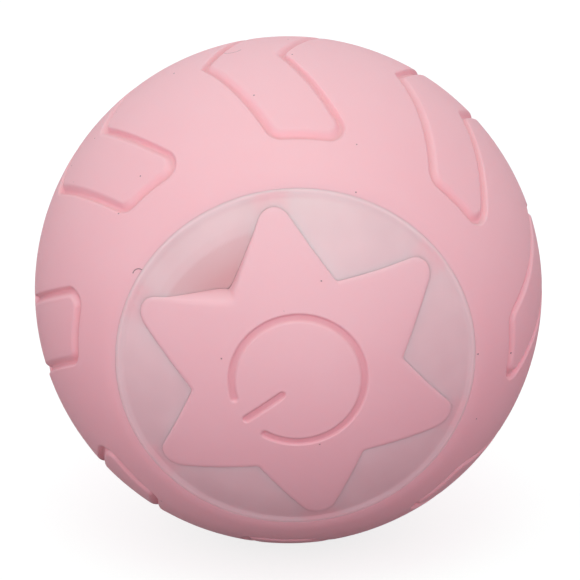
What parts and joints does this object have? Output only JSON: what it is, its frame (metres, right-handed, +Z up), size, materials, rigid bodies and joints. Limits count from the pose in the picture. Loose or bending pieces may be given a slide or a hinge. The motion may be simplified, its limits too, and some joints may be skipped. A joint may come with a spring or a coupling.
{
  "type": "automatic rolling dog ball",
  "caption": "Self-driving rolling dog ball: rubber chevron tread over a two-half shell, a lift-out star power button over a charging well, and a motor-driven swinging weight inside.",
  "frame": {"origin": "centre of the ball, on the hub axis", "axes": "+Z up with the swinging weight hanging below, the hub axis along Y, and the star button's pole facing -Y"},
  "size_m": [0.086, 0.0848, 0.086],
  "materials": {
    "skin_rubber": "matte",
    "shell_plastic": "frosted",
    "cap_plastic": "satin",
    "seal_rubber": "matte",
    "frame_plastic": "satin",
    "plate_plastic": "satin",
    "screw_steel": "zinc plated",
    "spring_steel": "bright",
    "shaft_steel": "ground",
    "weight_steel": "blackened",
    "arm_plastic": "satin",
    "washer_plastic": "satin",
    "gear_plastic": "satin",
    "gear_brass": "machined",
    "bush_brass": "sintered",
    "motor_steel": "nickel plated",
    "motor_plastic": "satin",
    "board_laminate": "lacquered",
    "chip_plastic": "matte",
    "switch_plastic": "matte",
    "plunger_plastic": "satin",
    "lamp_plastic": "clear",
    "socket_steel": "plated",
    "tongue_plastic": "matte",
    "battery_foil": "satin foil",
    "battery_foam": "foam",
    "lead_sleeve": "satin"
  },
  "bodies": {
    "ball": {"tread_skin": "skin_rubber", "near_half_shell": "shell_plastic", "far_half_shell": "shell_plastic", "far_star": "skin_rubber", "joint_seal": "seal_rubber", "rim_screws": "screw_steel", "well_gasket": "seal_rubber", "port_plate": "plate_plastic", "port_screws": "screw_steel", "plunger_seal": "seal_rubber", "circuit_board": "board_laminate", "usb_shell": "socket_steel", "usb_tongue": "tongue_plastic", "switch_body": "switch_plastic", "leds": "lamp_plastic", "control_chip": "chip_plastic", "motor_driver": "chip_plastic", "motion_sensor": "chip_plastic", "core_frame": "frame_plastic", "frame_screws": "screw_steel", "battery_cell": "battery_foil", "battery_foam": "battery_foam", "battery_leads": "lead_sleeve", "motor_can": "motor_steel", "motor_end_cap": "motor_plastic", "motor_leads": "lead_sleeve", "motor_screws": "screw_steel", "gearbox_base": "frame_plastic", "gearbox_cover": "frame_plastic", "gearbox_screws": "screw_steel", "gear_pins": "shaft_steel", "base_bush": "bush_brass", "cover_bush": "bush_brass", "far_bush": "bush_brass"},
    "cap": {"cap_body": "cap_plastic", "cap_seal": "seal_rubber", "button_spring": "spring_steel"},
    "star_button": {"star_pad": "skin_rubber", "star_carrier": "cap_plastic", "stem_clip": "spring_steel"},
    "plunger": {"switch_plunger": "plunger_plastic"},
    "motor_rotor": {"motor_shaft": "shaft_steel", "motor_pinion": "gear_brass"},
    "first_gear": {"first_reduction_gear": "gear_plastic"},
    "second_gear": {"second_reduction_gear": "gear_plastic"},
    "pendulum": {"drive_shaft": "shaft_steel", "output_gear": "gear_plastic", "thrust_washer": "washer_plastic", "shaft_clip": "spring_steel", "swing_arm": "arm_plastic", "swing_weight": "weight_steel", "weight_screws": "screw_steel"}
  },
  "joints": [
    {"name": "cap_lift", "type": "slide", "parent": "ball", "child": "cap", "axis": [0, -1, 0], "range_m": [0, 0.016]},
    {"name": "star_press", "type": "slide", "parent": "cap", "child": "star_button", "axis": [0, 1, 0], "range_m": [0, 0.0005], "stiffness_N_per_m": 400, "springref_m": -0.001, "deforming": ["button_spring"]},
    {"name": "plunger_press", "type": "slide", "parent": "ball", "child": "plunger", "axis": [0, 1, 0], "range_m": [0, 0.00025]},
    {"name": "pendulum_spin", "type": "hinge", "parent": "ball", "child": "pendulum", "pos_m": [0, 0, 0], "axis": [0, 1, 0], "continuous": true},
    {"name": "second_gear_spin", "type": "hinge", "parent": "ball", "child": "second_gear", "pos_m": [-0.00766, 0, -0.00643], "axis": [0, 1, 0], "continuous": true},
    {"name": "first_gear_spin", "type": "hinge", "parent": "ball", "child": "first_gear", "pos_m": [-0.00951, 0, 0.0034], "axis": [0, 1, 0], "continuous": true},
    {"name": "motor_spin", "type": "hinge", "parent": "ball", "child": "motor_rotor", "pos_m": [0, 0, 0.0065], "axis": [0, 1, 0], "continuous": true}
  ],
  "couplings": [
    {"joint": "plunger_press", "follows": "star_press", "ratio": 0.5},
    {"joint": "second_gear_spin", "follows": "pendulum_spin", "ratio": -3},
    {"joint": "first_gear_spin", "follows": "pendulum_spin", "ratio": 9},
    {"joint": "motor_spin", "follows": "pendulum_spin", "ratio": -27}
  ]
}
